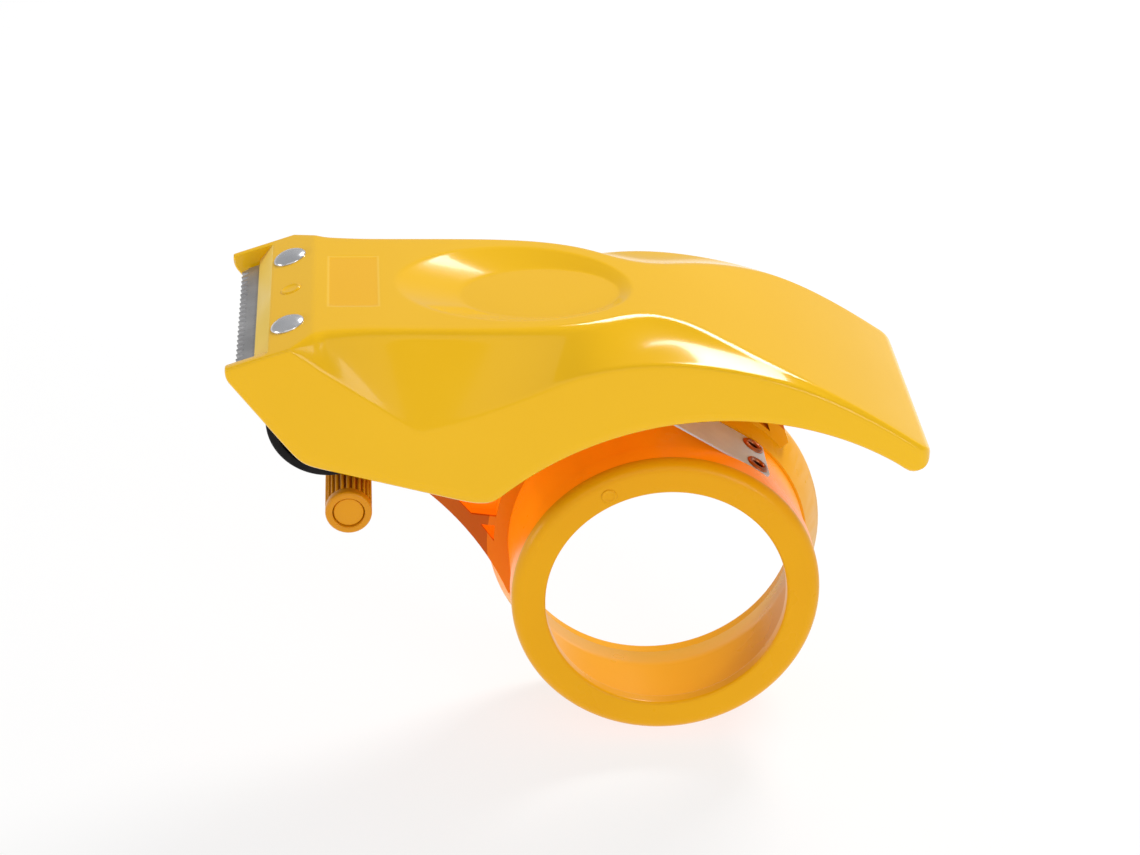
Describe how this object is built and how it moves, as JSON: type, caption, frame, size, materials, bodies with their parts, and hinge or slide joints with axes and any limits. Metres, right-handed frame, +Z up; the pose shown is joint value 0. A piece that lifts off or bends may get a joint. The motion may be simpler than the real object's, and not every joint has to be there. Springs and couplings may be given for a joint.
{
  "type": "tape dispenser",
  "caption": "Hand dispenser for packing tape: a palm hood with a saw blade at its front over a hub, leaf brake, press roller and turning guide post.",
  "frame": {"origin": "on the tape hub's axis, in the middle plane of the hood's width", "axes": "+X towards the tail of the palm hood, -X towards the blade, -Y the open side the tape roll goes on from, +Z up"},
  "size_m": [0.16, 0.066, 0.1254],
  "materials": {
    "hood_yellow": "polished moulded plastic",
    "frame_orange": "smooth moulded plastic",
    "hub_amber": "smooth moulded plastic",
    "sleeve_amber": "ribbed moulded plastic",
    "pin_amber": "smooth moulded plastic",
    "blade_steel": "ground tool steel",
    "spring_steel": "rolled spring strip",
    "rivet_steel": "bright nickel plate",
    "plain_steel": "plain zinc plate",
    "copper": "copper plate",
    "tyre_rubber": "matt rubber",
    "core_black": "moulded plastic",
    "bush_white": "acetal"
  },
  "bodies": {
    "body": {"hood_shell": "hood_yellow", "side_frame": "frame_orange", "tape_hub": "hub_amber", "cutting_blade": "blade_steel", "blade_clamp": "plain_steel", "blade_rivets": "rivet_steel", "frame_screws": "rivet_steel", "leaf_foot": "spring_steel", "leaf_backing": "plain_steel", "leaf_eyelets": "copper", "roller_axle": "plain_steel", "roller_retainer": "plain_steel", "guide_pin": "pin_amber"},
    "roller": {"roller_tyre": "tyre_rubber", "roller_core": "core_black", "roller_bushes": "bush_white"},
    "guide": {"guide_sleeve": "sleeve_amber"},
    "leaf": {"leaf_arm": "spring_steel"}
  },
  "joints": [
    {"name": "roller_spin", "type": "hinge", "parent": "body", "child": "roller", "pos_m": [-0.0799, -0.003, 0.0609], "axis": [0, 1, 0], "continuous": true},
    {"name": "guide_spin", "type": "hinge", "parent": "body", "child": "guide", "pos_m": [-0.0759, -0.003, 0.037], "axis": [0, 1, 0], "continuous": true},
    {"name": "leaf_flex", "type": "hinge", "parent": "body", "child": "leaf", "pos_m": [0.01322, 0.0091, 0.03541], "axis": [0, -1, 0], "range_deg": [0, 12], "stiffness_Nm_per_rad": 0.2}
  ]
}
